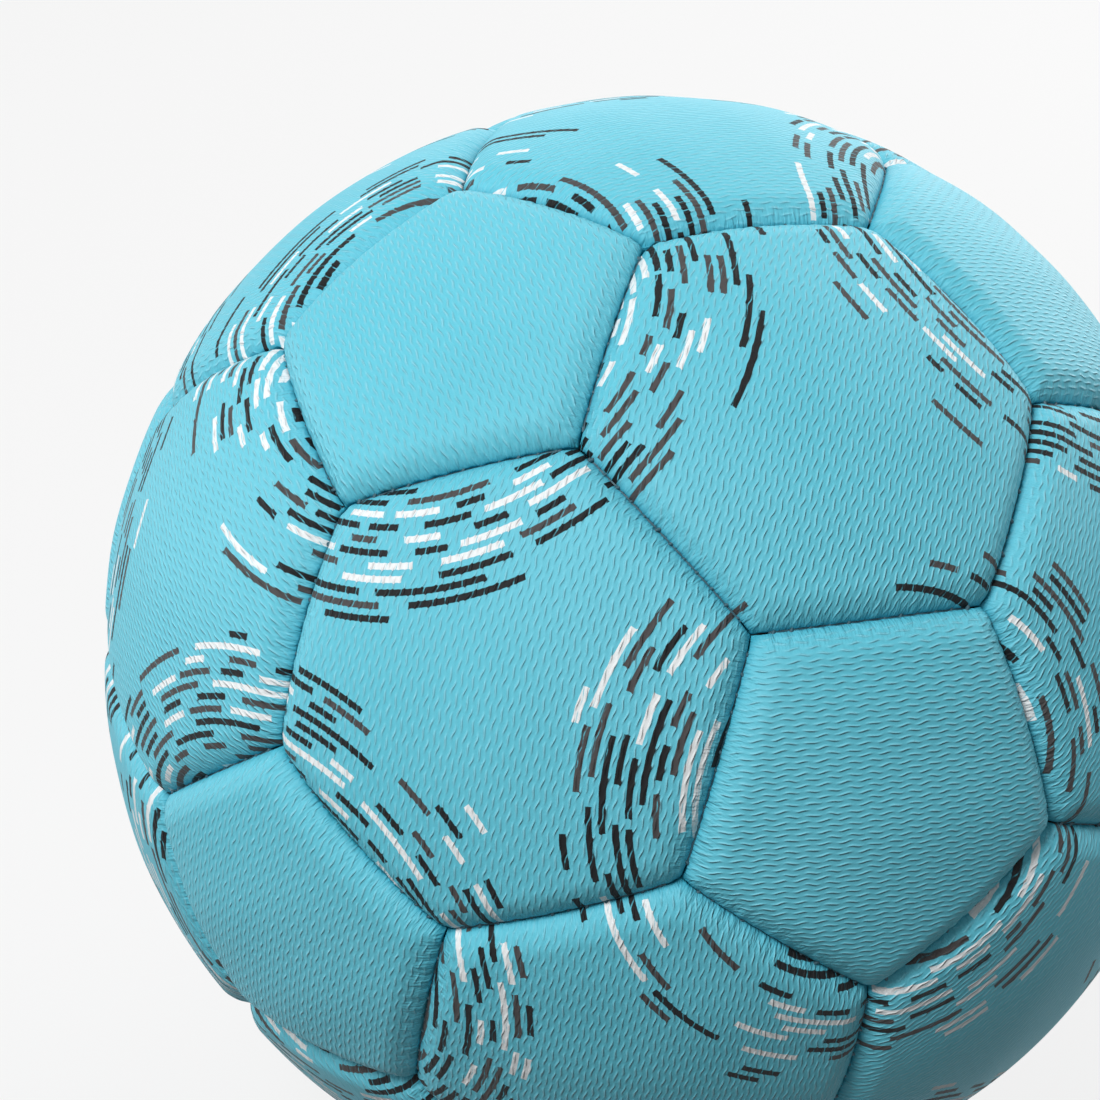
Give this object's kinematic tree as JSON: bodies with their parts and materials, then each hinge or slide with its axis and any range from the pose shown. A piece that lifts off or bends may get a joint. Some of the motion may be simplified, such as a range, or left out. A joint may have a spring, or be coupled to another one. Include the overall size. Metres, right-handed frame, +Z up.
{
  "type": "handball",
  "caption": "Round hand-stitched sports ball of five- and six-sided padded leather panels over foam, lining and an air bladder, with a needle valve in one panel.",
  "frame": {"origin": "centre of the ball", "axes": "+Z up through the middle of the top hexagon panel, so the ball rests on the middle of the opposite hexagon; +X lies in a plane of symmetry of the panels, under the top hexagon's neighbouring pentagon; the valve is in a pentagon at the back, 120 degrees round from +X and 10.8 degrees below the middle"},
  "size_m": [0.188, 0.1878, 0.188],
  "materials": {
    "pentagon_skin": "fine wavy grain, satin",
    "hexagon_skin": "fine wavy grain, satin, with a printed pattern of short arcs",
    "foam": "closed-cell foam, matt",
    "lining": "plain woven cloth",
    "thread": "waxed twisted thread",
    "bladder": "smooth rubber, satin",
    "valve_rubber": "moulded rubber, matt"
  },
  "bodies": {
    "root": {"pentagon_cover_01": "pentagon_skin", "pentagon_cover_02": "pentagon_skin", "pentagon_cover_03": "pentagon_skin", "pentagon_cover_04": "pentagon_skin", "pentagon_cover_05": "pentagon_skin", "pentagon_cover_06": "pentagon_skin", "pentagon_cover_07": "pentagon_skin", "pentagon_cover_08": "pentagon_skin", "pentagon_cover_09": "pentagon_skin", "pentagon_cover_10": "pentagon_skin", "pentagon_cover_11": "pentagon_skin", "pentagon_cover_12": "pentagon_skin", "hexagon_cover_01": "hexagon_skin", "hexagon_cover_02": "hexagon_skin", "hexagon_cover_03": "hexagon_skin", "hexagon_cover_04": "hexagon_skin", "hexagon_cover_05": "hexagon_skin", "hexagon_cover_06": "hexagon_skin", "hexagon_cover_07": "hexagon_skin", "hexagon_cover_08": "hexagon_skin", "hexagon_cover_09": "hexagon_skin", "hexagon_cover_10": "hexagon_skin", "hexagon_cover_11": "hexagon_skin", "hexagon_cover_12": "hexagon_skin", "hexagon_cover_13": "hexagon_skin", "hexagon_cover_14": "hexagon_skin", "hexagon_cover_15": "hexagon_skin", "hexagon_cover_16": "hexagon_skin", "hexagon_cover_17": "hexagon_skin", "hexagon_cover_18": "hexagon_skin", "hexagon_cover_19": "hexagon_skin", "hexagon_cover_20": "hexagon_skin", "pentagon_foam_pads": "foam", "hexagon_foam_pads": "foam", "pentagon_linings": "lining", "hexagon_linings": "lining", "seam_threads": "thread", "bladder": "bladder", "valve_patch": "lining", "valve_housing": "valve_rubber", "valve_plug": "valve_rubber"}
  },
  "joints": []
}
